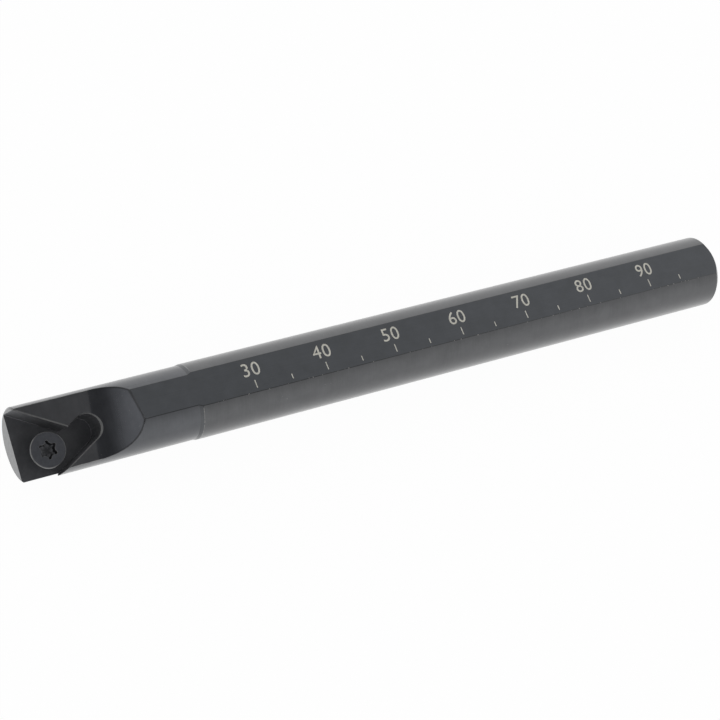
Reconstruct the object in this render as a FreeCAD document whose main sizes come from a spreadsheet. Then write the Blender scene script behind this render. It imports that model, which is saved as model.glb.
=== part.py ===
import FreeCAD, Part
import math
import os
import Sketcher

# Threading tool holder: a round steel bar with a tilted insert pocket in its head, and the
# screw that clamps the insert. Millimetres, +Z up.
# The origin is on the bar's axis at the shoulder, where the shank starts.
# +X runs to the tail, the nose is at -X, the flat looks up and the cutting side is -Y.

SIZES = {
    # the bar
    "overall_length": 101.6,
    "shank_diameter": 9.525,
    "neck_diameter": 9.31,
    "neck_length": 22.4,
    "shoulder_run": 0.5,
    "flat_height": 4.2,
    "tail_chamfer": 0.6,
    "nose_chamfer": 0.2,
    # the tilted face of the head and the run-out of the cutter that milled it
    "head_tilt": 13.0,
    "head_face_height": 2.0,
    "head_face_length": 9.0,
    "runout_radius": 7.9,
    "runout_skew": 6.5,
    # the insert's seat: its inscribed circle, its corner, and where its middle is
    "insert_circle": 6.35,
    "insert_corner": 60.0,
    "seat_from_nose": 3.22,
    "seat_offset": 1.45,
    "seat_floor_depth": 1.7,
    # the corner relief, milled along the seat's rear wall
    "relief_diameter": 3.45,
    "relief_setback": 0.41,
    # the screw and its hole
    "thread_diameter": 2.6,
    "thread_clearance": 0.05,
    "screw_pull": 0.08,
    "screw_head_diameter": 4.45,
    "screw_head_rim": 0.35,
    "screw_head_edge": 0.1,
    "screw_cone_angle": 60.0,
    "screw_head_above_floor": 2.72,
    "screw_end_gap": 0.1,
    "screw_end_chamfer": 0.3,
    "screw_turn": 27.0,
    "socket_across_lobes": 2.31,
    "socket_across_valleys": 1.66,
    "socket_lobe_radius": 0.19,
    "socket_depth": 0.9,
    # how far a cut starts outside the metal
    "cut_overrun": 1.0,
}

# what the sketches' expressions share
NECK_RADIUS = "sizes.neck_diameter / 2"
SHANK_RADIUS = "sizes.shank_diameter / 2"
TILT = "rotation(vector(1; 0; 0); sizes.head_tilt)"
CORNER_FROM_SHOULDER = "sizes.neck_length - sizes.seat_from_nose - sizes.insert_circle"
SCREW_FROM_SHOULDER = "sizes.neck_length - sizes.seat_from_nose - sizes.screw_pull"
SCREW_TOP = "sizes.screw_head_above_floor - sizes.seat_floor_depth"
# from the axis down to where the thread's outer side would come out of the bar's back
THREAD_TO_BACK = "sqrt((" + NECK_RADIUS + ") ^ 2 - (sizes.seat_offset + sizes.thread_diameter / 2) ^ 2)"

# sketch points: a line's or arc's start and end, an arc's centre, and the sketch's origin
START, END, CENTRE = 1, 2, 3
ORIGIN = (-1, 1)
HORIZONTAL_AXIS = -1
VERTICAL_AXIS = -2
FULL_TURN = 360.0

doc = FreeCAD.newDocument("threading_tool_holder")
sheet = doc.addObject("Spreadsheet::Sheet", "sizes")
for row, (size_name, value) in enumerate(SIZES.items(), start=1):
    sheet.set("A%d" % row, size_name)
    sheet.set("B%d" % row, str(value))
    sheet.setAlias("B%d" % row, size_name)
doc.recompute()


def vector(x, y, z=0.0):
    return FreeCAD.Vector(x, y, z)


def sketch_on(body, plane_role, name, offset=None):
    """A sketch on one of the body's origin planes, moved off it by an expression."""
    plane = [o for o in body.Origin.OriginFeatures if o.Role == plane_role][0]
    sketch = body.newObject("Sketcher::SketchObject", name)
    sketch.AttachmentSupport = (plane, [""])
    sketch.MapMode = "FlatFace"
    if offset:
        sketch.setExpression("AttachmentOffset", offset)
    return sketch


def constrain(sketch, *arguments):
    return sketch.addConstraint(Sketcher.Constraint(*arguments))


def size(sketch, name, kind, places, expression):
    """A named dimension, bound to the sheet. places are geometry and point numbers."""
    start_value = evaluate(expression)
    if kind == "Angle":
        start_value = math.radians(start_value)
    index = constrain(sketch, kind, *places, start_value)
    sketch.renameConstraint(index, name)
    sketch.setExpression("Constraints." + name, expression)


def evaluate(expression):
    """What an expression of the sheet's sizes comes to, as a plain number."""
    result = sheet.evalExpression(expression.replace("sizes.", ""))
    return float(getattr(result, "Value", result))


def closed_outline(sketch, corners):
    """Straight sides through the corners; level and upright sides are held so."""
    sides = []
    for start, end in zip(corners, corners[1:] + corners[:1]):
        sides.append(sketch.addGeometry(Part.LineSegment(vector(*start), vector(*end)), False))
        if start[1] == end[1]:
            constrain(sketch, "Horizontal", sides[-1])
        if start[0] == end[0]:
            constrain(sketch, "Vertical", sides[-1])
    for side, following in zip(sides, sides[1:] + sides[:1]):
        constrain(sketch, "Coincident", side, END, following, START)
    return sides


def turn(body, sketch, name):
    revolution = body.newObject("PartDesign::Revolution", name)
    revolution.Profile = sketch
    revolution.ReferenceAxis = (sketch, ["H_Axis"])
    revolution.Angle = FULL_TURN
    doc.recompute()
    return revolution


def cut(body, sketch, name, depth=None, side="One side"):
    """Pocket a sketch: to a depth given by an expression, or right through."""
    before = body.Shape.Volume
    pocket = body.newObject("PartDesign::Pocket", name)
    pocket.Profile = sketch
    pocket.SideType = side
    if depth:
        pocket.Type = "Length"
        pocket.setExpression("Length", depth)
    else:
        pocket.Type = "ThroughAll"
    doc.recompute()
    if not body.Shape.Volume < before:
        raise RuntimeError(name + " cuts nothing")
    return pocket


def make_bar():
    bar = doc.addObject("PartDesign::Body", "holder_bar")
    bar.Label = "holder_bar"
    turn_the_bar(bar)
    grind_the_flat(bar)
    mill_the_head(bar)
    mill_the_seat(bar)
    mill_the_relief(bar)
    drill_the_screw_hole(bar)
    return bar


def turn_the_bar(bar):
    """Neck, sloped shoulder and shank, turned, with a chamfer at each end."""
    nose = -evaluate("sizes.neck_length")
    tail = evaluate("sizes.overall_length - sizes.neck_length")
    neck = evaluate(NECK_RADIUS)
    shank = evaluate(SHANK_RADIUS)
    run = evaluate("sizes.shoulder_run")
    nose_chamfer = evaluate("sizes.nose_chamfer")
    tail_chamfer = evaluate("sizes.tail_chamfer")
    profile = sketch_on(bar, "XZ_Plane", "bar_profile")
    sides = closed_outline(profile, [
        (nose, 0.0),
        (nose, neck - nose_chamfer),
        (nose + nose_chamfer, neck),
        (-run, neck),
        (0.0, shank),
        (tail - tail_chamfer, shank),
        (tail, shank - tail_chamfer),
        (tail, 0.0),
    ])
    nose_end, nose_bevel, _, shoulder, _, tail_bevel, _, axis = sides
    constrain(profile, "PointOnObject", nose_end, START, HORIZONTAL_AXIS)
    constrain(profile, "PointOnObject", shoulder, END, VERTICAL_AXIS)
    size(profile, "run", "DistanceX", (shoulder, START, shoulder, END), "sizes.shoulder_run")
    size(profile, "neck", "DistanceX", (nose_end, START, *ORIGIN), "sizes.neck_length")
    size(profile, "shank", "DistanceX", (*ORIGIN, axis, START), "sizes.overall_length - sizes.neck_length")
    size(profile, "neck_radius", "DistanceY", (*ORIGIN, shoulder, START), NECK_RADIUS)
    size(profile, "shank_radius", "DistanceY", (*ORIGIN, shoulder, END), SHANK_RADIUS)
    size(profile, "nose_along", "DistanceX", (nose_bevel, START, nose_bevel, END), "sizes.nose_chamfer")
    size(profile, "nose_across", "DistanceY", (nose_bevel, START, nose_bevel, END), "sizes.nose_chamfer")
    size(profile, "tail_along", "DistanceX", (tail_bevel, START, tail_bevel, END), "sizes.tail_chamfer")
    size(profile, "tail_across", "DistanceY", (tail_bevel, END, tail_bevel, START), "sizes.tail_chamfer")
    turn(bar, profile, "turned_bar")


def grind_the_flat(bar):
    """One flat along the whole bar, cut from above."""
    overrun = evaluate("sizes.cut_overrun")
    left = -evaluate("sizes.neck_length") - overrun
    right = evaluate("sizes.overall_length - sizes.neck_length") + overrun
    bottom = evaluate("sizes.flat_height")
    top = evaluate(SHANK_RADIUS) + overrun
    flat = sketch_on(bar, "XZ_Plane", "flat_outline")
    corners = [(left, bottom), (right, bottom), (right, top), (left, top)]
    lower, _, upper, _ = closed_outline(flat, corners)
    size(flat, "height", "DistanceY", (*ORIGIN, lower, START), "sizes.flat_height")
    size(flat, "top", "DistanceY", (*ORIGIN, upper, START), SHANK_RADIUS + " + sizes.cut_overrun")
    size(flat, "left", "DistanceX", (lower, START, *ORIGIN), "sizes.neck_length + sizes.cut_overrun")
    size(flat, "right", "DistanceX", (*ORIGIN, lower, END),
         "sizes.overall_length - sizes.neck_length + sizes.cut_overrun")
    cut(bar, flat, "long_flat", "2 * sizes.shank_diameter", "Symmetric")


def mill_the_head(bar):
    """The head's tilted face and the concave run-out behind it, in one cut.

    The sketch stands on the tilted face and is turned a little about its normal, because
    the cutter ran a few degrees off square.
    """
    overrun = evaluate("sizes.cut_overrun")
    skew = math.radians(evaluate("sizes.runout_skew"))
    radius = evaluate("sizes.runout_radius")
    left = -evaluate("sizes.neck_length") - overrun
    tangent = -evaluate("sizes.neck_length - sizes.head_face_length") * math.cos(skew)
    face = evaluate("sizes.head_face_height")
    top = evaluate(NECK_RADIUS) + overrun
    rise = radius - (top - face)
    turned = math.acos(rise / radius)
    end = tangent + radius * math.sin(turned)
    centre = vector(tangent, face + radius)
    skewed = "placement(vector(0; 0; 0); " + TILT + " * rotation(vector(0; 1; 0); -sizes.runout_skew))"
    profile = sketch_on(bar, "XZ_Plane", "head_profile", skewed)
    floor = profile.addGeometry(Part.LineSegment(vector(left, face), vector(tangent, face)), False)
    run_out = profile.addGeometry(
        Part.ArcOfCircle(
            Part.Circle(centre, vector(0.0, 0.0, 1.0), radius), -math.pi / 2, -math.pi / 2 + turned
        ),
        False,
    )
    upper = profile.addGeometry(Part.LineSegment(vector(end, top), vector(left, top)), False)
    front = profile.addGeometry(Part.LineSegment(vector(left, top), vector(left, face)), False)
    constrain(profile, "Horizontal", floor)
    constrain(profile, "Horizontal", upper)
    constrain(profile, "Vertical", front)
    constrain(profile, "Tangent", floor, END, run_out, START)
    constrain(profile, "Coincident", run_out, END, upper, START)
    constrain(profile, "Coincident", upper, END, front, START)
    constrain(profile, "Coincident", front, END, floor, START)
    size(profile, "radius", "Radius", (run_out,), "sizes.runout_radius")
    size(profile, "face", "DistanceY", (*ORIGIN, floor, START), "sizes.head_face_height")
    size(profile, "top", "DistanceY", (*ORIGIN, upper, START), NECK_RADIUS + " + sizes.cut_overrun")
    size(profile, "left", "DistanceX", (floor, START, *ORIGIN), "sizes.neck_length + sizes.cut_overrun")
    size(profile, "tangent", "DistanceX", (floor, END, *ORIGIN),
         "(sizes.neck_length - sizes.head_face_length) * cos(sizes.runout_skew)")
    cut(bar, profile, "head_face", "2 * sizes.shank_diameter", "Symmetric")


def head_sketch(bar, name):
    """A sketch on the head's tilted face: x along the bar, y across it, away from the cutting side."""
    face = "sizes.head_face_height"
    base = "vector(0; -" + face + " * sin(sizes.head_tilt); " + face + " * cos(sizes.head_tilt))"
    return sketch_on(bar, "XY_Plane", name, "placement(" + base + "; " + TILT + ")")


def seat_corner():
    """The seat's inner corner on the head's face, and half of its angle."""
    half = math.radians(evaluate("sizes.insert_corner") / 2)
    return vector(-evaluate(CORNER_FROM_SHOULDER), -evaluate("sizes.seat_offset")), half


SEAT_DEPTH = "sizes.head_face_height + sizes.seat_floor_depth"


def mill_the_seat(bar):
    """The insert's seat: two walls aimed at its corner, open at the nose and the cutting side.

    The walls stop short of the corner by the relief's radius, inside the relief.
    """
    overrun = evaluate("sizes.cut_overrun")
    stop = evaluate("sizes.relief_diameter / 2")
    corner, half = seat_corner()
    inner = corner.x - stop * math.cos(half)
    front_start = corner.y + stop * math.sin(half)
    rear_stop = corner.y - stop * math.sin(half)
    left = -evaluate("sizes.neck_length") - overrun
    bottom = -evaluate(NECK_RADIUS) - overrun
    front_end = corner.y + (corner.x - left) * math.tan(half)
    rear_end = corner.x - (corner.y - bottom) / math.tan(half)
    seat = head_sketch(bar, "seat_outline")
    inner_end, front_wall, front, side, rear_wall = closed_outline(seat, [
        (inner, rear_stop),
        (inner, front_start),
        (left, front_end),
        (left, bottom),
        (rear_end, bottom),
    ])
    size(seat, "inner_along", "DistanceX", (inner_end, START, *ORIGIN),
         CORNER_FROM_SHOULDER + " + sizes.relief_diameter / 2 * cos(sizes.insert_corner / 2)")
    size(seat, "rear_across", "DistanceY", (inner_end, START, *ORIGIN),
         "sizes.seat_offset + sizes.relief_diameter / 2 * sin(sizes.insert_corner / 2)")
    size(seat, "inner_width", "DistanceY", (inner_end, START, inner_end, END),
         "sizes.relief_diameter * sin(sizes.insert_corner / 2)")
    size(seat, "left", "DistanceX", (front, START, *ORIGIN), "sizes.neck_length + sizes.cut_overrun")
    size(seat, "bottom", "DistanceY", (side, START, *ORIGIN), NECK_RADIUS + " + sizes.cut_overrun")
    # each wall leans half of the corner's angle from the bar's axis
    size(seat, "front_lean", "Angle", (front_wall, front), "(90 + sizes.insert_corner / 2) * 1 deg")
    size(seat, "rear_lean", "Angle", (side, rear_wall), "sizes.insert_corner / 2 * 1 deg")
    cut(bar, seat, "insert_seat", SEAT_DEPTH)


def mill_the_relief(bar):
    """A round-ended slot along the seat's rear wall, which frees the insert's corner."""
    corner, half = seat_corner()
    radius = evaluate("sizes.relief_diameter / 2")
    setback = evaluate("sizes.relief_setback")
    length = evaluate("sizes.insert_circle / 2")
    along = vector(-math.cos(half), -math.sin(half))
    inward = vector(-math.sin(half), math.cos(half))
    centre = corner + along * setback + inward * radius
    rear_start = centre - inward * radius
    front_start = centre + inward * radius
    relief = head_sketch(bar, "relief_outline")
    turned = math.atan2(-inward.y, -inward.x)
    end_arc = relief.addGeometry(
        Part.ArcOfCircle(Part.Circle(centre, vector(0.0, 0.0, 1.0), radius), turned, turned + math.pi),
        False,
    )
    front_side = relief.addGeometry(Part.LineSegment(front_start, front_start + along * length), False)
    mouth = relief.addGeometry(
        Part.LineSegment(front_start + along * length, rear_start + along * length), False
    )
    rear_side = relief.addGeometry(Part.LineSegment(rear_start + along * length, rear_start), False)
    constrain(relief, "Tangent", end_arc, END, front_side, START)
    constrain(relief, "Coincident", front_side, END, mouth, START)
    constrain(relief, "Coincident", mouth, END, rear_side, START)
    constrain(relief, "Tangent", rear_side, END, end_arc, START)
    constrain(relief, "Perpendicular", front_side, mouth)
    size(relief, "radius", "Radius", (end_arc,), "sizes.relief_diameter / 2")
    size(relief, "lean", "Angle", (HORIZONTAL_AXIS, rear_side), "sizes.insert_corner / 2 * 1 deg")
    size(relief, "length", "Distance", (front_side, START, front_side, END), "sizes.insert_circle / 2")
    size(relief, "centre_along", "DistanceX", (end_arc, CENTRE, *ORIGIN),
         CORNER_FROM_SHOULDER
         + " + sizes.relief_setback * cos(sizes.insert_corner / 2)"
         + " + sizes.relief_diameter / 2 * sin(sizes.insert_corner / 2)")
    size(relief, "centre_across", "DistanceY", (end_arc, CENTRE, *ORIGIN),
         "sizes.seat_offset + sizes.relief_setback * sin(sizes.insert_corner / 2)"
         + " - sizes.relief_diameter / 2 * cos(sizes.insert_corner / 2)")
    cut(bar, relief, "corner_relief", SEAT_DEPTH)


def drill_the_screw_hole(bar):
    """The screw's hole, square to the seat's floor and right through the back of the bar."""
    hole = head_sketch(bar, "screw_hole_outline")
    radius = "sizes.thread_diameter / 2 + sizes.thread_clearance"
    centre = vector(-evaluate(SCREW_FROM_SHOULDER), -evaluate("sizes.seat_offset"))
    circle = hole.addGeometry(Part.Circle(centre, vector(0.0, 0.0, 1.0), evaluate(radius)), False)
    size(hole, "radius", "Radius", (circle,), radius)
    size(hole, "along", "DistanceX", (circle, CENTRE, *ORIGIN), SCREW_FROM_SHOULDER)
    size(hole, "across", "DistanceY", (circle, CENTRE, *ORIGIN), "sizes.seat_offset")
    cut(bar, hole, "screw_hole")


def make_screw():
    """The clamping screw. Its own origin is the middle of its head's top, its axis is Z."""
    screw = doc.addObject("PartDesign::Body", "insert_screw")
    screw.Label = "insert_screw"
    top = "(" + SCREW_TOP + ")"
    screw.setExpression(
        "Placement",
        "placement(vector(-(" + SCREW_FROM_SHOULDER + "); "
        "-sizes.seat_offset * cos(sizes.head_tilt) - " + top + " * sin(sizes.head_tilt); "
        + top + " * cos(sizes.head_tilt) - sizes.seat_offset * sin(sizes.head_tilt)); "
        + TILT + " * rotation(vector(0; 0; 1); sizes.screw_turn))",
    )
    turn_the_screw(screw)
    press_the_socket(screw)
    return screw


def turn_the_screw(screw):
    """Countersunk head with a short cylindrical rim, and the thread's outer cylinder."""
    length_text = SCREW_TOP + " + " + THREAD_TO_BACK + " - sizes.screw_end_gap"
    cone_text = "(sizes.screw_head_diameter - sizes.thread_diameter) / 2 / tan(sizes.screw_cone_angle / 2)"
    head = evaluate("sizes.screw_head_diameter / 2")
    shank = evaluate("sizes.thread_diameter / 2")
    edge = evaluate("sizes.screw_head_edge")
    rim = evaluate("sizes.screw_head_rim")
    cone = evaluate(cone_text)
    length = evaluate(length_text)
    end_chamfer = evaluate("sizes.screw_end_chamfer")
    # the profile lies on its side: x goes down the screw, y is the radius
    profile = sketch_on(
        screw, "XZ_Plane", "screw_profile", "placement(vector(0; 0; 0); rotation(vector(0; 0; 1); -90))"
    )
    top, bevel, rim_side, cone_side, thread_side, end_bevel, _, axis = closed_outline(profile, [
        (0.0, 0.0),
        (0.0, head - edge),
        (edge, head),
        (rim, head),
        (rim + cone, shank),
        (length - end_chamfer, shank),
        (length, shank - end_chamfer),
        (length, 0.0),
    ])
    constrain(profile, "Coincident", top, START, *ORIGIN)
    size(profile, "length", "DistanceX", (*ORIGIN, axis, START), length_text)
    size(profile, "head_radius", "DistanceY", (*ORIGIN, rim_side, START), "sizes.screw_head_diameter / 2")
    size(profile, "thread_radius", "DistanceY", (*ORIGIN, thread_side, START), "sizes.thread_diameter / 2")
    size(profile, "edge_along", "DistanceX", (*ORIGIN, bevel, END), "sizes.screw_head_edge")
    size(profile, "edge_across", "DistanceY", (bevel, START, bevel, END), "sizes.screw_head_edge")
    size(profile, "rim", "DistanceX", (*ORIGIN, rim_side, END), "sizes.screw_head_rim")
    size(profile, "cone", "DistanceX", (cone_side, START, cone_side, END), cone_text)
    size(profile, "end_along", "DistanceX", (end_bevel, START, end_bevel, END), "sizes.screw_end_chamfer")
    size(profile, "end_across", "DistanceY", (end_bevel, END, end_bevel, START), "sizes.screw_end_chamfer")
    turn(screw, profile, "turned_screw")


LOBES = 6


def press_the_socket(screw):
    """The six-lobe socket: one sixth is a lobe between two halves of its neighbouring flutes.

    A flute is an arc that bulges inwards. It touches the lobe's arc, and its nearest point to
    the axis is at the valley.
    """
    half_step = math.pi / LOBES
    tip = evaluate("sizes.socket_across_lobes / 2")
    valley = evaluate("sizes.socket_across_valleys / 2")
    lobe = evaluate("sizes.socket_lobe_radius")
    lobe_centre = tip - lobe
    # the flute's centre is on the valley's line at a distance of valley + flute
    flute = flute_radius(lobe_centre, valley, lobe, half_step)
    flute_centre = vector(
        (valley + flute) * math.cos(half_step), (valley + flute) * math.sin(half_step)
    )
    towards_lobe = math.atan2(-flute_centre.y, lobe_centre - flute_centre.x)
    sixth = sketch_on(screw, "XY_Plane", "socket_lobe")
    normal = vector(0.0, 0.0, 1.0)
    mirrored = vector(flute_centre.x, -flute_centre.y)
    touch = towards_lobe + math.pi
    lower = sixth.addGeometry(
        Part.LineSegment(
            vector(0.0, 0.0), vector(valley * math.cos(half_step), -valley * math.sin(half_step))
        ),
        False,
    )
    # seen from its own centre, a flute's arc runs from the valley to where it touches the lobe
    lower_flute = sixth.addGeometry(
        Part.ArcOfCircle(Part.Circle(mirrored, normal, flute), -towards_lobe, math.pi - half_step),
        False,
    )
    lobe_arc = sixth.addGeometry(
        Part.ArcOfCircle(Part.Circle(vector(lobe_centre, 0.0), normal, lobe), -touch, touch), False
    )
    upper_flute = sixth.addGeometry(
        Part.ArcOfCircle(
            Part.Circle(flute_centre, normal, flute), math.pi + half_step, 2 * math.pi + towards_lobe
        ),
        False,
    )
    upper = sixth.addGeometry(
        Part.LineSegment(
            vector(valley * math.cos(half_step), valley * math.sin(half_step)), vector(0.0, 0.0)
        ),
        False,
    )
    constrain(sixth, "Coincident", lower, START, *ORIGIN)
    constrain(sixth, "Coincident", upper, END, *ORIGIN)
    constrain(sixth, "Coincident", lower, END, lower_flute, END)
    constrain(sixth, "Tangent", lower_flute, START, lobe_arc, START)
    constrain(sixth, "Tangent", lobe_arc, END, upper_flute, END)
    constrain(sixth, "Coincident", upper_flute, START, upper, START)
    constrain(sixth, "PointOnObject", lobe_arc, CENTRE, HORIZONTAL_AXIS)
    constrain(sixth, "PointOnObject", upper_flute, CENTRE, upper)
    constrain(sixth, "Symmetric", upper, START, lower, END, HORIZONTAL_AXIS)
    constrain(sixth, "PointOnObject", lower_flute, CENTRE, lower)
    size(sixth, "lobe_radius", "Radius", (lobe_arc,), "sizes.socket_lobe_radius")
    size(sixth, "lobe_centre", "DistanceX", (*ORIGIN, lobe_arc, CENTRE),
         "sizes.socket_across_lobes / 2 - sizes.socket_lobe_radius")
    size(sixth, "valley", "Distance", (*ORIGIN, upper, START), "sizes.socket_across_valleys / 2")
    size(sixth, "half_step", "DistanceY", (*ORIGIN, upper, START),
         "sizes.socket_across_valleys / 2 * sin(%s)" % math.degrees(half_step))
    pocket = cut(screw, sixth, "socket_sixth", "sizes.socket_depth")
    socket = screw.newObject("PartDesign::PolarPattern", "socket")
    socket.Originals = [pocket]
    socket.Axis = (sixth, ["N_Axis"])
    socket.Angle = FULL_TURN
    socket.Occurrences = LOBES
    screw.Tip = socket
    doc.recompute()


def flute_radius(lobe_centre, valley, lobe, half_step):
    """The radius of a flute that touches the lobe, from the triangle of the two centres.

    With the flute's centre at valley + flute from the axis, the distance between the centres
    is lobe + flute, and the flute's square drops out of both sides.
    """
    across = valley ** 2 + lobe_centre ** 2 - 2 * valley * lobe_centre * math.cos(half_step)
    return (across - lobe ** 2) / (2 * (lobe - valley + lobe_centre * math.cos(half_step)))


def check_and_write(parts):
    """Write nothing unless every object recomputed well and every sub-part is a good solid."""
    doc.recompute()
    for item in doc.Objects:
        if "Invalid" in item.State or "Error" in item.State:
            raise RuntimeError(item.Name + " failed: " + str(item.State))
    for part in parts:
        if part.Shape.isNull() or not part.Shape.isValid():
            raise RuntimeError(part.Label + " is not a valid shape")
        if len(part.Shape.Solids) != 1:
            raise RuntimeError(part.Label + " is not one solid")
    os.makedirs("parts", exist_ok=True)
    for part in parts:
        part.Shape.exportStep("parts/" + part.Label + ".step")
        print(part.Label, "volume %.3f mm3" % part.Shape.Volume, part.Shape.BoundBox)


check_and_write([make_bar(), make_screw()])
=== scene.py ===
import bmesh
import bpy
import math
from mathutils import Matrix, Vector


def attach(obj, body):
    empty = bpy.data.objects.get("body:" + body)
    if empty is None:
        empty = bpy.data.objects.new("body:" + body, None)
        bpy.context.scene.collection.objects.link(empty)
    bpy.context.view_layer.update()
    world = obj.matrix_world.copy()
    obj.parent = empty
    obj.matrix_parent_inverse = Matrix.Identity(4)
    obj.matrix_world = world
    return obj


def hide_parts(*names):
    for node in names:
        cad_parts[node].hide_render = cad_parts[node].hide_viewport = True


# A threading tool holder of black-oxide steel: a ground bar with a milled insert seat, and the
# screw that clamps the insert. Lengths are in millimetres until a mesh is written, in metres.

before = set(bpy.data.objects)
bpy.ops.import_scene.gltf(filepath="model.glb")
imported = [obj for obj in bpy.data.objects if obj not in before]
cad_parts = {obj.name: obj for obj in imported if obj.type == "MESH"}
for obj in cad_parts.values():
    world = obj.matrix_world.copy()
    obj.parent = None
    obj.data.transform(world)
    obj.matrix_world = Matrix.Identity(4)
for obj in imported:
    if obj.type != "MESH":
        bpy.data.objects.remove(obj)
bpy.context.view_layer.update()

MM = 0.001

# The bar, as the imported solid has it.
NECK_LENGTH = 22.4
OVERALL_LENGTH = 101.6
NECK_RADIUS = 4.655
SHANK_RADIUS = 4.7625
SHOULDER_RUN = 0.5
NOSE_CHAMFER = 0.2
TAIL_CHAMFER = 0.6
FLAT_HEIGHT = 4.2
HEAD_TILT = math.radians(13.0)
HEAD_FACE_HEIGHT = 2.0
HEAD_FACE_LENGTH = 9.0
RUNOUT_RADIUS = 7.9
RUNOUT_SKEW = math.radians(6.5)
RUNOUT_SWEEP = math.radians(85.0)
SEAT_FROM_NOSE = 3.22
INSERT_CIRCLE = 6.35
SEAT_OFFSET = 1.45
FLOOR_HEIGHT = -1.7
HALF_CORNER = math.radians(30.0)
RELIEF_RADIUS = 1.725
RELIEF_SETBACK = 0.41
HOLE_RADIUS = 1.35

# The screw. It stands SCREW_PULL behind the insert's middle, and so draws the insert into its
# corner.
SCREW_PULL = 0.08
SCREW_TURN = math.radians(27.0)
HEAD_RADIUS = 2.225
HEAD_RIM = 0.35
HEAD_ABOVE_FLOOR = 2.72
CONE_HALF_ANGLE = math.radians(30.0)
THREAD_RADIUS = 1.3
END_GAP = 0.1
END_CHAMFER = 0.3
LOBES = 6
LOBE_TIP = 1.155
LOBE_VALLEY = 0.83
LOBE_RADIUS = 0.19
SOCKET_DEPTH = 0.9
SOCKET_EDGE = 0.05

# The thread. It reaches its full depth over THREAD_RUN_IN of a pitch. FLANK_SLOPE is how fast a
# flank rises from the root to the crest, and ROOT_SHARE is taken off it to leave a wide root.
THREAD_PITCH = 0.45
THREAD_DEPTH = 0.22
THREAD_RUN_IN = 0.6
FLANK_SLOPE = 2.5
ROOT_SHARE = 0.15

# The screw's rings of points, which round its corners. For the socket: how far outside its
# outline, the depth below the head's top, and the finish of the band that ends at the ring. Its
# floor goes down to a blunt point. For the head: the radius, the depth and the finish. For the
# foot of the cone: how far outside the thread and how far above its start. For the end: how far
# inside the thread's root and how far above the end.
SOCKET_POINT_SHARE = 0.3
SOCKET_POINT_DEPTH = 0.12
SOCKET_RINGS = (
    (-0.14, SOCKET_DEPTH, "socket"),
    (-0.04, SOCKET_DEPTH - 0.06, "socket"),
    (0.0, SOCKET_DEPTH - 0.18, "socket"),
    (0.0, SOCKET_EDGE, "socket"),
    (0.3 * SOCKET_EDGE, 0.3 * SOCKET_EDGE, "screw_edge"),
    (SOCKET_EDGE, 0.0, "screw_edge"),
    (SOCKET_EDGE + 0.02, 0.0, "screw_top"),
)
HEAD_RINGS = (
    (1.42, 0.0, "screw_top"),
    (HEAD_RADIUS - 0.12, 0.0, "screw_top"),
    (HEAD_RADIUS - 0.07, 0.012, "screw_edge"),
    (HEAD_RADIUS - 0.012, 0.07, "screw_edge"),
    (HEAD_RADIUS, 0.12, "screw_edge"),
    (HEAD_RADIUS, HEAD_RIM - 0.04, "screw"),
    (HEAD_RADIUS - 0.01, HEAD_RIM, "screw"),
    (HEAD_RADIUS - 0.035, HEAD_RIM + 0.04, "screw"),
)
CONE_FOOT = (0.06, 0.1)
END_RINGS = ((0.0, END_CHAMFER - 0.02), (0.03, 0.06), (0.09, 0.0))

# The scale etched on the flat, from the nose: a tick at every step, and a number and a longer
# tick at every second one. DIGIT_SHARE is a digit's height as a share of the letters' size.
SCALE_FIRST = 30
SCALE_LAST = 95
SCALE_STEP = 5
NUMBER_STEP = 10
NUMBER_HEIGHT = 1.75
NUMBER_MIDDLE = 0.65
DIGIT_SHARE = 0.7
DIGIT_SPACING = 1.08
TICK_START = -1.75
TICK_WIDTH = 0.13
LONG_TICK = 1.05
SHORT_TICK = 0.65
ETCH_LIFT = 0.003

# How finely the round shapes are divided.
BAR_SIDES = 192
RUNOUT_STEPS = 72
RELIEF_STEPS = 48
HOLE_SIDES = 64
SCREW_SIDES = 144
ROWS_PER_PITCH = 8
DIGIT_STEPS = 4
BEVEL_STEPS = 2

# The width of the edges: at the seat's rim, which is deburred and slopes at RIM_SLOPE, and
# elsewhere. An angle above SHARP is an edge, and no facet of a curved face is wider than
# FACET_WIDTH. After the cuts, points within WELD are joined, and faces whose directions differ
# by less than LEVEL are made one.
RIM_WIDTH = 0.12
RIM_SLOPE = math.radians(45.0)
EDGE_WIDTH = 0.05
SHARP = math.radians(8.0)
FACET_WIDTH = 0.25
WELD = 0.002
LEVEL = math.radians(0.2)

# What tells the bar's faces and edges apart. A place may be off what it belongs to by HAIR or
# FACE_HAIR, and a facet's middle lies up to FACET_SAG inside the round. Two directions are the
# same, nearly the same or roughly the same when their cosine is above these. The depths are how
# far below the flat its edges are found, at the tail and along it, how far below the seat's
# floor the hole's back starts, and how far inside the round an edge counts as in the seat.
HAIR = 0.01
FACE_HAIR = 0.001
FACET_SAG = 0.02
SAME_WAY, NEARLY_SAME_WAY, ROUGHLY_SAME_WAY = 0.9999, 0.999, 0.5
FLAT_END_DEPTH = 0.2
FLAT_EDGE_DEPTH = 0.15
HOLE_BACK_DEPTH = 1.0
SEAT_EDGE_DEPTH = 0.12

# The painted shade line at the run-out's border: the depth below the neck and the flat at which
# it begins, the share of that depth at which it is full, and how far behind the head's face it
# starts to show and is whole.
BORDER_DEPTH = 0.2
BORDER_FULL_SHARE = 0.4
BORDER_FADE = (1.5, 4.0)

# What the finishes share: how much the tool marks count beside the blotches, the span of their
# sum that goes from the dark tone to the light one, how soft a rubbed spot's edge is, how far
# the roughness swings, and how strong the marks' relief and how rough the oil's film is.
MARKS_SHARE = 0.3
TONE_SPAN = (0.33, 0.67)
SPOT_SOFTNESS = 0.06
ROUGHNESS_SWING = 0.05
RELIEF_STRENGTH = 0.5
OIL_ROUGHNESS = 0.28

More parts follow.
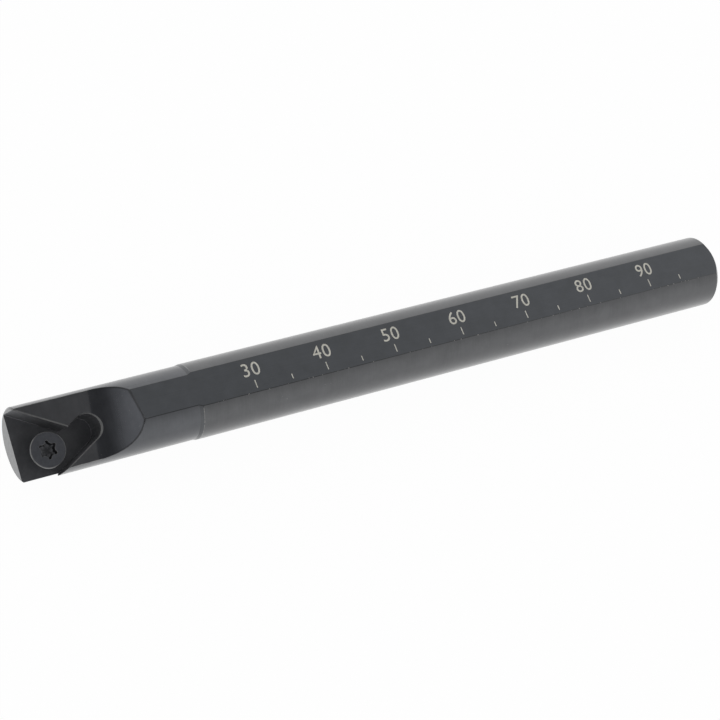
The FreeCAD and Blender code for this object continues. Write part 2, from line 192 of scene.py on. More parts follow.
# The floor: half its side, its gap below the bar, and how much of it is white to the camera
# whatever falls on it.
FLOOR_HALF = 3000.0
FLOOR_GAP = 0.02
FLOOR_WHITE = 0.97

# The light tent: the way to its darker opening, and its brightness at some angles from there.
TENT_OPENING = (0.05, -0.13, 0.99)
TENT_LEVELS = ((90, 1.2), (60, 1.04), (48, 0.93), (40, 0.80), (34, 0.66), (26, 0.42), (14, 0.12))

# The camera, found from the bar's outline and its ends in the photograph: its lens, its place
# and the ways to its right, up and back.
LENS = 109.92
SENSOR_WIDTH = 36.0
CAMERA_PLACE = (-103.67, -72.90, 238.46)
CAMERA_RIGHT = (0.86124, -0.36777, 0.35072)
CAMERA_UP = (0.22209, 0.89312, 0.39117)
CAMERA_BACK = (-0.45710, -0.25900, 0.85088)

# The bar's two ends along X. A cutter reaches FAR past what it cuts.
NOSE = -NECK_LENGTH
TAIL = OVERALL_LENGTH - NECK_LENGTH
FAR = 6.0

# The head's tilted axes: across the bar on the head's face, and square to that face.
ACROSS = Vector((0.0, math.cos(HEAD_TILT), math.sin(HEAD_TILT)))
SQUARE = Vector((0.0, -math.sin(HEAD_TILT), math.cos(HEAD_TILT)))
SEAT_CORNER_X = NOSE + SEAT_FROM_NOSE + INSERT_CIRCLE
SCREW_X = NOSE + SEAT_FROM_NOSE + SCREW_PULL


def linear(hex_colour):
    """An sRGB hex colour as the linear colour that a shader socket takes."""
    channels = [int(hex_colour[i:i + 2], 16) / 255 for i in (1, 3, 5)]
    return [c / 12.92 if c <= 0.04045 else ((c + 0.055) / 1.055) ** 2.4 for c in channels] + [1.0]


def add_node(tree, kind, settings, links=()):
    """One node with its settings and links, each by a property's or a socket's name or number."""
    node = tree.nodes.new(kind)
    for name, value in settings.items():
        if isinstance(name, str) and hasattr(node, name):
            setattr(node, name, value)
        else:
            node.inputs[name].default_value = value
    for name, source in links:
        tree.links.new(source, node.inputs[name])
    return node


def run_out_border(tree, place):
    """How near a place on the run-out is to the neck and the long flat, the mask of the painted
    shade line there: 1 at its border.
    """
    apart = add_node(tree, "ShaderNodeSeparateXYZ", {}, [("Vector", place)]).outputs
    flattened = add_node(tree, "ShaderNodeCombineXYZ", {}, [("Y", apart["Y"]), ("Z", apart["Z"])])
    radius = add_node(
        tree, "ShaderNodeVectorMath", {"operation": "LENGTH"}, [(0, flattened.outputs[0])]
    ).outputs["Value"]
    nearest = None
    for measure, border in ((radius, NECK_RADIUS), (apart["Z"], FLAT_HEIGHT)):
        deep = (border - BORDER_DEPTH) * MM
        full = (border - BORDER_FULL_SHARE * BORDER_DEPTH) * MM
        near = add_node(
            tree, "ShaderNodeMapRange", {"From Min": deep, "From Max": full}, [("Value", measure)]
        ).outputs["Result"]
        nearest = near if nearest is None else add_node(
            tree, "ShaderNodeMath", {"operation": "MAXIMUM"}, [(0, nearest), (1, near)]
        ).outputs[0]
    # the painted shade line fades out towards the head's face
    starts, whole = [(NOSE + HEAD_FACE_LENGTH + behind) * MM for behind in BORDER_FADE]
    past_face = add_node(
        tree, "ShaderNodeMapRange", {"From Min": starts, "From Max": whole}, [("Value", apart["X"])]
    ).outputs["Result"]
    return add_node(
        tree, "ShaderNodeMath", {"operation": "MULTIPLY"}, [(0, nearest), (1, past_face)]
    ).outputs[0]


def steel(
    name, dark, light, rough, marks_mm, mottle_mm, film=1.0, bump_mm=0.001, fleck=None, border=None
):
    """A metal in two tones under a film of oil.

    rough is its roughness, marks_mm the size of its tool marks along X, Y and Z, mottle_mm the
    size of its blotches, film how much oil it has and bump_mm how deep its marks are. fleck is
    the size, the share from 0 to 1 that stays plain and the colour of small rubbed spots.
    border is the colour of the painted shade line at the run-out's border.
    """
    material = bpy.data.materials.new(name)
    material.use_nodes = True
    tree = material.node_tree
    tree.nodes.clear()
    place = add_node(tree, "ShaderNodeTexCoord", {}).outputs["Object"]
    stretched = add_node(
        tree, "ShaderNodeMapping", {"Scale": [1 / (size * MM) for size in marks_mm]},
        [("Vector", place)],
    ).outputs["Vector"]
    marks = add_node(
        tree, "ShaderNodeTexNoise", {"Scale": 1.0, "Detail": 3.0, "Roughness": 0.6},
        [("Vector", stretched)],
    ).outputs["Fac"]
    blotches = add_node(
        tree, "ShaderNodeTexNoise",
        {"Scale": 1 / (mottle_mm * MM), "Detail": 6.0, "Roughness": 0.66}, [("Vector", place)],
    ).outputs["Fac"]
    both = add_node(
        tree, "ShaderNodeMix", {"data_type": "FLOAT", "Factor": MARKS_SHARE},
        [("A", blotches), ("B", marks)],
    ).outputs["Result"]
    spread = add_node(
        tree, "ShaderNodeMapRange", {"From Min": TONE_SPAN[0], "From Max": TONE_SPAN[1]},
        [("Value", both)],
    ).outputs["Result"]
    tone = add_node(
        tree, "ShaderNodeMix", {"data_type": "RGBA", 6: linear(dark), 7: linear(light)},
        [("Factor", spread)],
    ).outputs[2]
    if fleck:
        size_mm, plain, colour = fleck
        spots = add_node(
            tree, "ShaderNodeTexNoise", {"Scale": 1 / (size_mm * MM), "Detail": 2.0},
            [("Vector", place)],
        ).outputs["Fac"]
        picked = add_node(
            tree, "ShaderNodeMapRange", {"From Min": plain, "From Max": plain + SPOT_SOFTNESS},
            [("Value", spots)],
        ).outputs["Result"]
        tone = add_node(
            tree, "ShaderNodeMix", {"data_type": "RGBA", 7: linear(colour)},
            [("Factor", picked), (6, tone)],
        ).outputs[2]
    # painted shade: a darker line along the run-out's border
    if border:
        tone = add_node(
            tree, "ShaderNodeMix", {"data_type": "RGBA", 7: linear(border)},
            [("Factor", run_out_border(tree, place)), (6, tone)],
        ).outputs[2]
    roughness = add_node(
        tree, "ShaderNodeMapRange",
        {"To Min": rough - ROUGHNESS_SWING, "To Max": rough + ROUGHNESS_SWING}, [("Value", both)],
    ).outputs["Result"]
    relief = add_node(
        tree, "ShaderNodeBump", {"Strength": RELIEF_STRENGTH, "Distance": bump_mm * MM},
        [("Height", marks)],
    ).outputs["Normal"]
    shader = add_node(
        tree, "ShaderNodeBsdfPrincipled",
        {"Metallic": 1.0, "Coat Weight": film, "Coat Roughness": OIL_ROUGHNESS},
        [("Base Color", tone), ("Roughness", roughness), ("Normal", relief)],
    )
    add_node(tree, "ShaderNodeOutputMaterial", {}, [("Surface", shader.outputs["BSDF"])])
    return material


BAR_FINISHES = {
    # Black oxide on centreless-ground steel: a dark satin with faint rings round the bar. The
    # wheel's marks are about 0.02 mm wide, drawn at 0.15 mm so that they show.
    "shank": steel(
        "black_oxide_on_ground_steel", "#454648", "#535456", 0.38, (0.15, 4.0, 4.0), 2.4,
        fleck=(0.4, 0.75, "#808080"),
    ),
    # The neck is turned and then ground: the same oxide, slightly blue.
    "neck": steel(
        "black_oxide_on_turned_steel", "#44464a", "#505256", 0.38, (0.18, 4.0, 4.0), 2.0,
    ),
    # The slope of the shoulder isn't ground: the oxide is dull and a little darker there.
    "shoulder": steel(
        "dull_black_oxide_in_shoulder", "#484a4d", "#545659", 0.46, (0.15, 4.0, 4.0), 0.8, film=0.8,
    ),
    # Black oxide on surface-ground steel: slightly blue, with fine lines along the bar. The
    # wheel's lines are about 0.02 mm wide, drawn at 0.1 mm.
    "flat": steel(
        "black_oxide_on_surface_ground_steel", "#404347", "#4a4d52", 0.40, (7.0, 0.10, 1.0), 2.2,
    ),
    # Where the flat meets the round the oxide is thick and dark, with bright nicks from handling.
    "flat_edge": steel(
        "nicked_black_oxide_on_flat_edge", "#2c2d30", "#38393c", 0.42, (0.6, 0.6, 0.6), 1.2,
        fleck=(0.32, 0.63, "#b8b7b2"),
    ),
    # The flat's back edge is hardly handled: the same thick oxide, without nicks. On the run-out's
    # border the same dark tone is painted shade.
    "dark_edge": steel(
        "thick_black_oxide_and_painted_shade_on_back_edge", "#2c2d30", "#38393c", 0.42, (0.6, 0.6, 0.6), 1.2,
    ),
    # Black oxide on a face-milled steel: duller, with the cutter's feed lines across the bar.
    "head_face": steel(
        "black_oxide_on_milled_face", "#48494c", "#535457", 0.46, (0.24, 5.0, 5.0), 1.6,
        film=0.6, bump_mm=0.0015, fleck=(0.3, 0.77, "#7c7c7b"),
    ),
    # The run-out is left by the cutter's round edge, which burnishes it. The darker line along its
    # border is painted shade.
    "run_out": steel(
        "black_oxide_in_cutter_run_out_with_painted_shade_border", "#3f4146", "#4a4c51", 0.34, (0.2, 6.0, 6.0), 1.6,
        film=0.6, fleck=(0.3, 0.71, "#82827f"), border="#242528",
    ),
    # The seat's walls are end-milled: matt black oxide without a direction. Their tone is lighter
    # than the rest of the oxide: painted light, standing in for the light that doesn't reach into
    # the seat.
    "seat": steel(
        "matt_black_oxide_with_painted_light_in_seat", "#707174", "#828386", 0.52, (0.3, 0.3, 0.3), 0.9, film=0.5,
    ),
    # The seat's floor is milled with the cutter's end: matt and darker than the walls, but still
    # lighter than the rest of the oxide: painted light in the seat.
    "seat_floor": steel(
        "matt_black_oxide_with_painted_light_on_seat_floor", "#525356", "#606164", 0.50, (0.3, 0.3, 0.3), 1.1,
        film=0.5,
    ),
    # The ends and the tail's chamfer are faced and the oxide is thin: a grey, grainy surface.
    "end": steel(
        "thin_black_oxide_on_faced_end", "#68696c", "#8c8d8e", 0.48, (0.16, 0.16, 0.16), 0.5,
        film=0.8, bump_mm=0.004,
    ),
    # Deburred edges with the oxide rubbed down to the steel: a thin line that catches the light.
    "rim": steel(
        "steel_rubbed_bright_on_rim", "#2c2d30", "#4e4e4d", 0.36, (0.4, 0.4, 0.4), 0.7,
    ),
    # Edges with the oxide rubbed thin in places: a fine line, broken and lighter.
    "worn_edge": steel(
        "black_oxide_rubbed_thin_on_edge", "#46474a", "#8a8a88", 0.36, (0.4, 0.4, 0.4), 0.8,
    ),
}

SCREW_FINISHES = {
    # Black oxide on a turned and rolled steel screw: a dark satin with small blotches.
    "screw": steel(
        "black_oxide_on_screw_steel", "#47484a", "#545557", 0.42, (0.3, 0.3, 0.3), 0.8,
    ),
    # The head's top is faced and handled: lighter, with fine scratches.
    "screw_top": steel(
        "black_oxide_on_faced_screw_head", "#4d4f54", "#5b5d63", 0.42, (0.1, 0.5, 0.5), 0.6,
        film=0.7,
    ),
    # The cold-formed socket keeps its thick oxide: dark and matt.
    "socket": steel(
        "thick_black_oxide_in_socket", "#414245", "#505154", 0.50, (0.2, 0.2, 0.2), 0.5, film=0.4,
    ),
    # The edges of the head and its socket, rubbed by the key: fine lighter lines.
    "screw_edge": steel(
        "steel_rubbed_bright_on_screw_edge", "#46474a", "#6e6e6d", 0.36, (0.3, 0.3, 0.3), 0.5,
    ),
}


def on_head(x, across, height):
    """A point given along the bar, across the tilted head and square to its face."""
    return Vector((x, 0.0, 0.0)) + ACROSS * across + SQUARE * height


def ring_stack(rings):
    """A skin through rings of equal point counts, closed with a flat face at each end."""
    bm = bmesh.new()
    loops = [[bm.verts.new(p) for p in ring] for ring in rings]
    count = len(loops[0])
    for below, above in zip(loops, loops[1:]):
        for i in range(count):
            j = (i + 1) % count
            bm.faces.new((below[i], below[j], above[j], above[i]))
    bm.faces.new(reversed(loops[0]))
    bm.faces.new(loops[-1])
    bmesh.ops.recalc_face_normals(bm, faces=bm.faces)
    return bm


def prism(outline, lift):
    """A closed solid: an outline of points, and the same outline moved by lift."""
    return ring_stack([outline, [Vector(p) + lift for p in outline]])


def piece_from(bm, name, unit=MM):
    """A new object in the scene from mesh data in millimetres."""
    bmesh.ops.scale(bm, vec=(unit, unit, unit), verts=bm.verts)
    mesh = bpy.data.meshes.new(name)
    bm.to_mesh(mesh)
    bm.free()
    piece = bpy.data.objects.new(name, mesh)
    bpy.context.scene.collection.objects.link(piece)
    return piece


def applied(piece):
    """Make what the piece's modifiers show its own mesh."""
    graph = bpy.context.evaluated_depsgraph_get()
    mesh = bpy.data.meshes.new_from_object(piece.evaluated_get(graph))
    piece.modifiers.clear()
    piece.data = mesh
    return piece


def bar_turns():
    """The angles of the bar's sides, with each long edge of a later cut in the middle of a side.

    A fine bevel folds where a cut's edge lies just beside the line between two sides.
    """
    flat_on_neck = math.asin(FLAT_HEIGHT / NECK_RADIUS)
    flat_on_shank = math.asin(FLAT_HEIGHT / SHANK_RADIUS)
    head_face = math.asin(HEAD_FACE_HEIGHT / NECK_RADIUS)
    seat_floor = math.asin(FLOOR_HEIGHT / NECK_RADIUS)
    long_edges = sorted([
        flat_on_neck, math.pi - flat_on_neck, flat_on_shank, math.pi - flat_on_shank,
        HEAD_TILT + head_face, HEAD_TILT + math.pi - head_face, HEAD_TILT + math.pi - seat_floor,
    ])
    half_side = math.pi / BAR_SIDES
    turns = []
    for edge, following in zip(long_edges, long_edges[1:] + [long_edges[0] + 2 * math.pi]):
        start, end = edge + half_side, following - half_side
        steps = max(1, round((end - start) / (2 * half_side)))
        turns += [start + (end - start) * i / steps for i in range(steps + 1)]
    return turns


def turned_bar():
    """The turned bar: neck, sloped shoulder, shank and the two end chamfers."""
    profile = [
        (NOSE, NECK_RADIUS - NOSE_CHAMFER),
        (NOSE + NOSE_CHAMFER, NECK_RADIUS),
        (-SHOULDER_RUN, NECK_RADIUS),
        (0.0, SHANK_RADIUS),
        (TAIL - TAIL_CHAMFER, SHANK_RADIUS),
        (TAIL, SHANK_RADIUS - TAIL_CHAMFER),
    ]
    turns = bar_turns()
    return ring_stack([[(x, r * math.cos(t), r * math.sin(t)) for t in turns] for x, r in profile])


def flat_cutter():
    """The slab above the long flat."""
    top = 2 * SHANK_RADIUS
    left, right = NOSE - FAR, TAIL + FAR
    outline = [(left, FLAT_HEIGHT), (right, FLAT_HEIGHT), (right, top), (left, top)]
    return prism([Vector((x, -2 * FAR, z)) for x, z in outline], Vector((0, 4 * FAR, 0)))


def head_cutter():
    """What the cutter took off above the head's face, with its round run-out."""
    skewed = Matrix.Rotation(HEAD_TILT, 3, "X") @ Matrix.Rotation(-RUNOUT_SKEW, 3, "Z")
    tangent = (NOSE + HEAD_FACE_LENGTH) * math.cos(RUNOUT_SKEW)
    outline = [Vector((NOSE - FAR, -2 * FAR, HEAD_FACE_HEIGHT))]
    for i in range(RUNOUT_STEPS + 1):
        turn = RUNOUT_SWEEP * i / RUNOUT_STEPS
        rise = RUNOUT_RADIUS * (1 - math.cos(turn))
        along = tangent + RUNOUT_RADIUS * math.sin(turn)
        outline.append(Vector((along, -2 * FAR, HEAD_FACE_HEIGHT + rise)))
    outline.append(Vector((NOSE - FAR, -2 * FAR, outline[-1].z)))
    return prism([skewed @ p for p in outline], skewed @ Vector((0, 4 * FAR, 0)))


def seat_outline(spread):
    """The seat seen from above: its front wall, the corner's round relief and its rear wall.

    The walls are moved outwards by spread.
    """
    sine, cosine = math.sin(HALF_CORNER), math.cos(HALF_CORNER)
    corner = Vector((SEAT_CORNER_X, -SEAT_OFFSET))
    along = Vector((-cosine, -sine))
    inward = Vector((-sine, cosine))
    centre = corner + along * RELIEF_SETBACK + inward * RELIEF_RADIUS
    radius = RELIEF_RADIUS + spread
    # where the front wall meets the relief's front side
    front_side = 2 * RELIEF_RADIUS + spread
    whole_corner = 2 * HALF_CORNER
    meeting = (front_side * math.cos(whole_corner) - spread) / math.sin(whole_corner)
    start = corner + inward * front_side + along * meeting
    left, side = NOSE - FAR, -FAR
    turns = [math.pi * i / RELIEF_STEPS for i in range(RELIEF_STEPS + 1)]
    outline = [(left, start.y + (start.x - left) * sine / cosine), start]
    outline += [centre + radius * (inward * math.cos(t) - along * math.sin(t)) for t in turns]
    rear = outline[-1]
    outline += [(rear[0] - (rear[1] - side) * cosine / sine, side), (left, side)]
    return outline


def seat_cutter():
    """The insert's seat down to its floor, with the deburred rim round its top."""
    levels = [
        (FLOOR_HEIGHT, 0.0),
        (HEAD_FACE_HEIGHT - RIM_WIDTH, 0.0),
        (HEAD_FACE_HEIGHT + RELIEF_RADIUS, RIM_WIDTH + RELIEF_RADIUS),
        (HEAD_FACE_HEIGHT + FAR, RIM_WIDTH + RELIEF_RADIUS),
    ]
    return ring_stack([
        [on_head(*p, height) for p in seat_outline(spread)] for height, spread in levels
    ])


def hole_cutter():
    """The screw's hole, right through the back of the bar."""
    turns = [2 * math.pi * i / HOLE_SIDES for i in range(HOLE_SIDES)]
    outline = [
        on_head(SCREW_X + HOLE_RADIUS * math.cos(t), HOLE_RADIUS * math.sin(t) - SEAT_OFFSET, 0.0)
        for t in turns
    ]
    return prism(outline, SQUARE * -FAR)


def on_rim(face):
    """Whether a face is part of the deburred rim, which slopes evenly all round the seat."""
    off_slope = abs(face.normal.dot(SQUARE) - math.cos(RIM_SLOPE))
    off_axis = abs(face.calc_center_median().dot(ACROSS))
    return off_slope < HAIR and off_axis < NECK_RADIUS


def is_bevelled(edge):
    """Whether an edge gets the fine bevel.

    The rim's own edges stay as they are, and so do those at the nose, at the flat's tail end,
    in the shoulder's inner corner and at the back of the screw's hole, because the faces beside
    them are very narrow.
    """
    if edge.calc_face_angle(0.0) < SHARP or any(on_rim(face) for face in edge.link_faces):
        return False
    middle = (edge.verts[0].co + edge.verts[1].co) / 2
    below_flat = FLAT_HEIGHT - middle.z
    below_floor = FLOOR_HEIGHT - middle.dot(SQUARE)
    at_nose = middle.x < NOSE + NOSE_CHAMFER + HAIR
    at_flat_end = middle.x > TAIL - TAIL_CHAMFER / 2 and below_flat < FLAT_END_DEPTH
    in_shoulder = abs(middle.x + SHOULDER_RUN) < HAIR and below_flat > HAIR
    at_hole_back = middle.x < NOSE + HEAD_FACE_LENGTH and below_floor > HOLE_BACK_DEPTH
    return not (at_nose or at_flat_end or in_shoulder or at_hole_back)


def finish_of(face):
    """Which finish a face of the bar has, from where it lies and which way it looks."""
    middle = face.calc_center_median()
    radius = math.hypot(middle.y, middle.z)
    height = middle.dot(SQUARE)
    upward = face.normal.dot(SQUARE)
    if on_rim(face) and middle.x < NOSE + HEAD_FACE_LENGTH + RELIEF_RADIUS:
        return "rim"
    if face.normal.z > SAME_WAY:
        return "flat"
    if abs(face.normal.x) > NEARLY_SAME_WAY or middle.x > TAIL - TAIL_CHAMFER:
        return "end"
    if middle.x > 0.0:
        return "shank"
    if radius > NECK_RADIUS - FACET_SAG:
        return "shoulder" if middle.x > -SHOULDER_RUN else "neck"
    if upward > ROUGHLY_SAME_WAY and height > HEAD_FACE_HEIGHT + FACE_HAIR:
        return "run_out"
    if upward > ROUGHLY_SAME_WAY:
        return "head_face" if height > 0.0 else "seat_floor"
    return "rim" if middle.x < NOSE + NOSE_CHAMFER else "seat"


def edge_finish_of(middle):
    """Which finish the bevel has at a place: rubbed where it is handled, else as beside it."""
    radius = math.hypot(middle.y, middle.z)
    height = middle.dot(SQUARE)
    on_flat = middle.z > FLAT_HEIGHT - FLAT_EDGE_DEPTH
    on_run_out = height > HEAD_FACE_HEIGHT and middle.x < -SHOULDER_RUN - FACET_WIDTH
    if middle.x > NOSE + HEAD_FACE_LENGTH and (on_flat or on_run_out):
        # on the run-out's border the dark tone is painted shade
        return "dark_edge" if on_run_out or middle.y > 0.0 else "flat_edge"
    if middle.x > -SHOULDER_RUN / 2 or height > HEAD_FACE_HEIGHT - RIM_WIDTH:
        return "worn_edge"
    return "seat" if radius < NECK_RADIUS - SEAT_EDGE_DEPTH else "neck"


def cut_away(piece, cutters):
    """Take each cutter's shape off a piece."""
    tools = [piece_from(cutter, "cutter_%d" % i, 1.0) for i, cutter in enumerate(cutters)]
    for tool in tools:
        cut = piece.modifiers.new("cut", "BOOLEAN")
        cut.operation = "DIFFERENCE"
        cut.solver = "EXACT"
        cut.object = tool
    applied(piece)
    for tool in tools:
        bpy.data.objects.remove(tool)


def make_bar():
    """The bar's mesh: the turned bar less each cut, then a fine bevel on its edges."""
    bar = piece_from(turned_bar(), "bar", 1.0)
    cut_away(bar, [flat_cutter(), head_cutter(), seat_cutter(), hole_cutter()])
    finishes = list(BAR_FINISHES)
    bm = bmesh.new()
    bm.from_mesh(bar.data)
    bmesh.ops.remove_doubles(bm, verts=bm.verts, dist=WELD)
    bmesh.ops.dissolve_limit(bm, angle_limit=LEVEL, verts=bm.verts, edges=bm.edges)
    weight = bm.edges.layers.float.new("bevel_weight_edge")
    for edge in bm.edges:
        bevelled = is_bevelled(edge)
        edge[weight] = float(bevelled)
        edge.smooth = bevelled or edge.calc_face_angle(0.0) < SHARP
    for face in bm.faces:
        face.material_index = finishes.index(finish_of(face))
        # the facets of the curved faces are narrow, and only they are shaded as curved
        longest = max(e.calc_length() for e in face.edges)
        face.smooth = face.calc_area() < FACET_WIDTH * longest
    bm.to_mesh(bar.data)
    bm.free()
    for finish in BAR_FINISHES.values():
        bar.data.materials.append(finish)
    # the bevel's faces get a slot of their own, and from there the finish of their place
    bar.data.materials.append(BAR_FINISHES["rim"])
    bevel_slot = len(finishes)
    bevel = bar.modifiers.new("edges", "BEVEL")
    bevel.limit_method = "WEIGHT"
    bevel.width = EDGE_WIDTH
    bevel.segments = BEVEL_STEPS
    bevel.use_clamp_overlap = False
    bevel.harden_normals = True
    bevel.material = bevel_slot
    applied(bar)
    for face in bar.data.polygons:
        if face.material_index == bevel_slot:
            face.material_index = finishes.index(edge_finish_of(face.center))
            face.use_smooth = True
    bar.data.materials.pop(index=bevel_slot)
    bar.data.transform(Matrix.Scale(MM, 4))
    return bar


def socket_outline():
    """The six-lobe socket's radius at each side of the screw."""
    half_step = math.pi / LOBES
    lobe_centre = LOBE_TIP - LOBE_RADIUS
    off_axis = Vector((math.cos(half_step), math.sin(half_step)))
    across = (off_axis * LOBE_VALLEY - Vector((lobe_centre, 0.0))).length_squared
    # the radius of the flute between two lobes, which meets both of them smoothly
    flute = (across - LOBE_RADIUS ** 2) / 2
    flute /= LOBE_RADIUS - LOBE_VALLEY + lobe_centre * off_axis.x
    flute_centre = LOBE_VALLEY + flute
    # the lobe's and the flute's arcs touch on the line between their centres
    towards = (off_axis * flute_centre - Vector((lobe_centre, 0.0))).normalized()
    touch = Vector((lobe_centre, 0.0)) + towards * LOBE_RADIUS
    touch_turn = math.atan2(touch.y, touch.x)
    radii = []
    for i in range(SCREW_SIDES):
        turn = (2 * math.pi * i / SCREW_SIDES + half_step) % (2 * half_step) - half_step
        if abs(turn) < touch_turn:
            off = lobe_centre * math.sin(turn)
            radii.append(lobe_centre * math.cos(turn) + math.sqrt(LOBE_RADIUS ** 2 - off ** 2))
        else:
            away = half_step - abs(turn)
            off = flute_centre * math.sin(away)
            radii.append(flute_centre * math.cos(away) - math.sqrt(flute ** 2 - off ** 2))
    return radii


def make_screw():
    """The screw's mesh, one skin from the middle of its socket to the middle of its end."""
    turns = [2 * math.pi * i / SCREW_SIDES for i in range(SCREW_SIDES)]
    back = math.sqrt(NECK_RADIUS ** 2 - (SEAT_OFFSET + THREAD_RADIUS) ** 2)
    length = HEAD_ABOVE_FLOOR + FLOOR_HEIGHT + back - END_GAP
    cone = (HEAD_RADIUS - THREAD_RADIUS) / math.tan(CONE_HALF_ANGLE)
    thread_start = HEAD_RIM + cone
    outline = socket_outline()
    crest, root = THREAD_RADIUS, THREAD_RADIUS - THREAD_DEPTH
    # each ring: its radii, its depth below the head's top and the finish of the band before it
    point = [SOCKET_POINT_SHARE * r for r in outline]
    rings = [(point, SOCKET_DEPTH + SOCKET_POINT_DEPTH, "socket")]
    rings += [([r + out for r in outline], depth, finish) for out, depth, finish in SOCKET_RINGS]
    head_rings = [
        *HEAD_RINGS,
        (crest + CONE_FOOT[0], thread_start - CONE_FOOT[1], "screw"),
        (crest, thread_start, "screw"),
    ]
    rings += [([radius] * SCREW_SIDES, depth, finish) for radius, depth, finish in head_rings]
    rows = int((length - END_CHAMFER - thread_start) / THREAD_PITCH * ROWS_PER_PITCH)
    for row in range(1, rows + 1):
        depth = thread_start + row * THREAD_PITCH / ROWS_PER_PITCH
        run_in = min(1.0, row / (THREAD_RUN_IN * ROWS_PER_PITCH))
        radii = []
        for t in turns:
            phase = (depth / THREAD_PITCH + t / (2 * math.pi)) % 1.0
            flank = min(1.0, max(0.0, abs(phase - 0.5) * FLANK_SLOPE - ROOT_SHARE))
            radii.append(crest - THREAD_DEPTH * run_in * (1.0 - flank))
        rings.append((radii, depth, "screw"))
    for inside, above in END_RINGS:
        rings.append(([root - inside] * SCREW_SIDES, length - above, "screw"))
    bm = ring_stack([
        [(r * math.cos(t), r * math.sin(t), -depth) for r, t in zip(radii, turns)]
        for radii, depth, _ in rings
    ])
    finishes = list(SCREW_FINISHES)
    bands = [finish for _, _, finish in rings[1:]]
    for i, face in enumerate(bm.faces):
        if len(face.verts) > 4:
            finish = "socket" if face.calc_center_median().z > -thread_start else "screw"
        else:
            finish = bands[i // SCREW_SIDES]
        face.smooth = finish != "screw_top" and len(face.verts) == 4
        face.material_index = finishes.index(finish)
    turned = Matrix.Rotation(HEAD_TILT, 4, "X") @ Matrix.Rotation(SCREW_TURN, 4, "Z")
    place = Matrix.Translation(on_head(SCREW_X, -SEAT_OFFSET, FLOOR_HEIGHT + HEAD_ABOVE_FLOOR))
    bmesh.ops.transform(bm, matrix=place @ turned, verts=bm.verts)
    screw = piece_from(bm, "clamping_screw")
    for finish in SCREW_FINISHES.values():
        screw.data.materials.append(finish)
    return screw


def number_mesh(text):
    """A number as thin closed letters in millimetres, centred on its own origin."""
    curve = bpy.data.curves.new("number", "FONT")
    curve.body = text
    curve.size = NUMBER_HEIGHT / DIGIT_SHARE
    curve.align_x = "CENTER"
    curve.align_y = "CENTER"
    curve.space_character = DIGIT_SPACING
    curve.resolution_u = DIGIT_STEPS
    curve.extrude = ETCH_LIFT
    letters = bpy.data.objects.new("number", curve)
    bpy.context.scene.collection.objects.link(letters)
    graph = bpy.context.evaluated_depsgraph_get()
    mesh = bpy.data.meshes.new_from_object(letters.evaluated_get(graph))
    bpy.data.objects.remove(letters)
    return mesh


def make_scale():
    """The etched scale: ticks and numbers that say how far the bar stands out of its block."""
    bm = bmesh.new()
    for distance in range(SCALE_FIRST, SCALE_LAST + 1, SCALE_STEP):
        numbered = distance % NUMBER_STEP == 0
        length = LONG_TICK if numbered else SHORT_TICK
        box = Matrix.Diagonal((TICK_WIDTH, length, 2 * ETCH_LIFT, 1.0))
        middle = Vector((NOSE + distance, TICK_START + length / 2, FLAT_HEIGHT))
        bmesh.ops.create_cube(bm, size=1.0, matrix=Matrix.Translation(middle) @ box)
        if numbered:
            letters = number_mesh(str(distance))
            letters.transform(Matrix.Translation((NOSE + distance, NUMBER_MIDDLE, FLAT_HEIGHT)))
            bm.from_mesh(letters)
    bmesh.ops.remove_doubles(bm, verts=bm.verts, dist=0.0005)
    scale = piece_from(bm, "etched_scale")
    # Steel frosted by the laser: the oxide is burnt off and the surface is pale and matt.
    scale.data.materials.append(steel(
        "laser_frosted_steel", "#b4b2a9", "#e0ded6", 0.55, (0.1, 0.1, 0.1), 0.3, film=0.0,
    ))
    return scale


def make_floor():
    """A plain pale sheet under the holder, white to the camera, that keeps a soft shadow."""
    height = -SHANK_RADIUS - FLOOR_GAP
    bm = bmesh.new()
    corners = [(-1, -1), (1, -1), (1, 1), (-1, 1)]
    bm.faces.new([bm.verts.new((x * FLOOR_HALF, y * FLOOR_HALF, height)) for x, y in corners])
    floor = piece_from(bm, "floor")
    # White paper, matt: plain, with nothing on it but the holder's soft shadow.
    material = bpy.data.materials.new("matt_white_paper")
    material.use_nodes = True
    tree = material.node_tree
    tree.nodes.clear()
    rays = add_node(tree, "ShaderNodeLightPath", {})
    seen = rays.outputs["Is Camera Ray"]
    for kind in ("Is Glossy Ray", "Is Transmission Ray"):
        seen = add_node(
            tree, "ShaderNodeMath", {"operation": "MAXIMUM"}, [(0, seen), (1, rays.outputs[kind])]
        ).outputs[0]
    share = add_node(
        tree, "ShaderNodeMath", {"operation": "MULTIPLY", 1: FLOOR_WHITE}, [(0, seen)]
    ).outputs[0]
    paper = add_node(tree, "ShaderNodeBsdfDiffuse", {"Color": linear("#fafafa")})
    white = add_node(tree, "ShaderNodeEmission", {"Color": linear("#ffffff"), "Strength": 1.0})
    mixed = add_node(
        tree, "ShaderNodeMixShader", {},
        [(0, share), (1, paper.outputs[0]), (2, white.outputs[0])],
    )
    add_node(tree, "ShaderNodeOutputMaterial", {}, [("Surface", mixed.outputs[0])])
    floor.data.materials.append(material)
    return floor


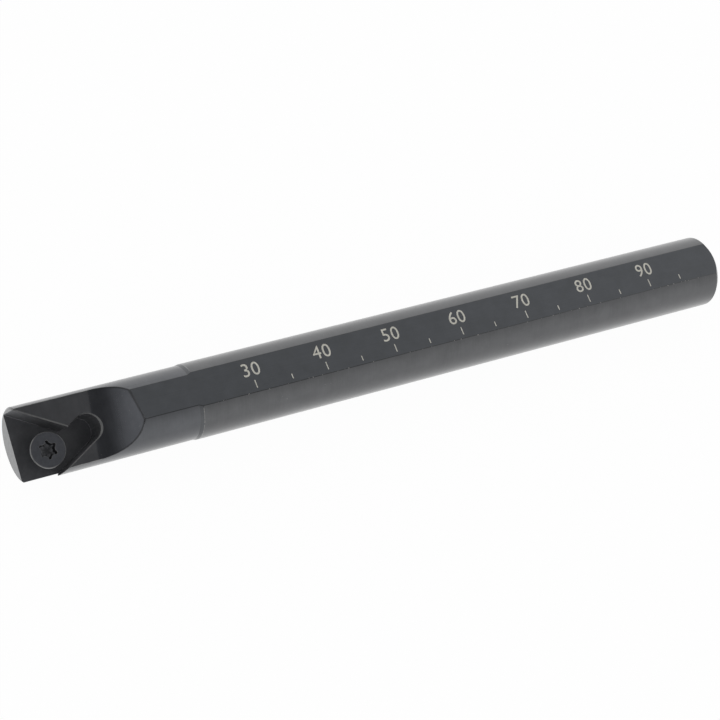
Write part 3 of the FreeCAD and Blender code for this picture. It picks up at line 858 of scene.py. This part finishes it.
def light_the_tent():
    """A white light tent with a darker opening above the holder, towards its nose."""
    world = bpy.data.worlds.new("light_tent")
    bpy.context.scene.world = world
    world.use_nodes = True
    tree = world.node_tree
    tree.nodes.clear()
    towards = add_node(tree, "ShaderNodeTexCoord", {}).outputs["Generated"]
    closeness = add_node(
        tree, "ShaderNodeVectorMath",
        {"operation": "DOT_PRODUCT", 1: Vector(TENT_OPENING).normalized()}, [(0, towards)],
    ).outputs["Value"]
    ramp = add_node(tree, "ShaderNodeValToRGB", {}, [("Fac", closeness)])
    brightest = TENT_LEVELS[0][1]
    stops = ramp.color_ramp.elements
    for _ in TENT_LEVELS[2:]:
        stops.new(0.5)
    for stop, (angle, level) in zip(stops, TENT_LEVELS):
        stop.position = math.cos(math.radians(angle))
        stop.color = [level / brightest] * 3 + [1.0]
    tent = add_node(
        tree, "ShaderNodeBackground", {"Strength": brightest}, [("Color", ramp.outputs["Color"])]
    )
    white = add_node(tree, "ShaderNodeBackground", {"Strength": 1.0, "Color": linear("#ffffff")})
    rays = add_node(tree, "ShaderNodeLightPath", {})
    mixed = add_node(
        tree, "ShaderNodeMixShader", {},
        [(0, rays.outputs["Is Camera Ray"]), (1, tent.outputs[0]), (2, white.outputs[0])],
    )
    add_node(tree, "ShaderNodeOutputWorld", {}, [("Surface", mixed.outputs[0])])


def place_camera():
    """The camera at the photograph's place, in metres."""
    lens = bpy.data.cameras.new("camera")
    lens.sensor_width = SENSOR_WIDTH
    lens.lens = LENS
    lens.clip_start = 0.01
    lens.clip_end = 20.0
    camera = bpy.data.objects.new("camera", lens)
    bpy.context.scene.collection.objects.link(camera)
    turned = Matrix((CAMERA_RIGHT, CAMERA_UP, CAMERA_BACK)).transposed().to_4x4()
    camera.matrix_world = Matrix.Translation(Vector(CAMERA_PLACE) * MM) @ turned
    bpy.context.scene.camera = camera


bar = make_bar()
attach(bar, "holder")
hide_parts("holder_bar")

scale = make_scale()
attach(scale, "holder")

screw = make_screw()
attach(screw, "screw")
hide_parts("insert_screw")

make_floor()
light_the_tent()
place_camera()
bpy.context.scene.view_settings.view_transform = "Standard"
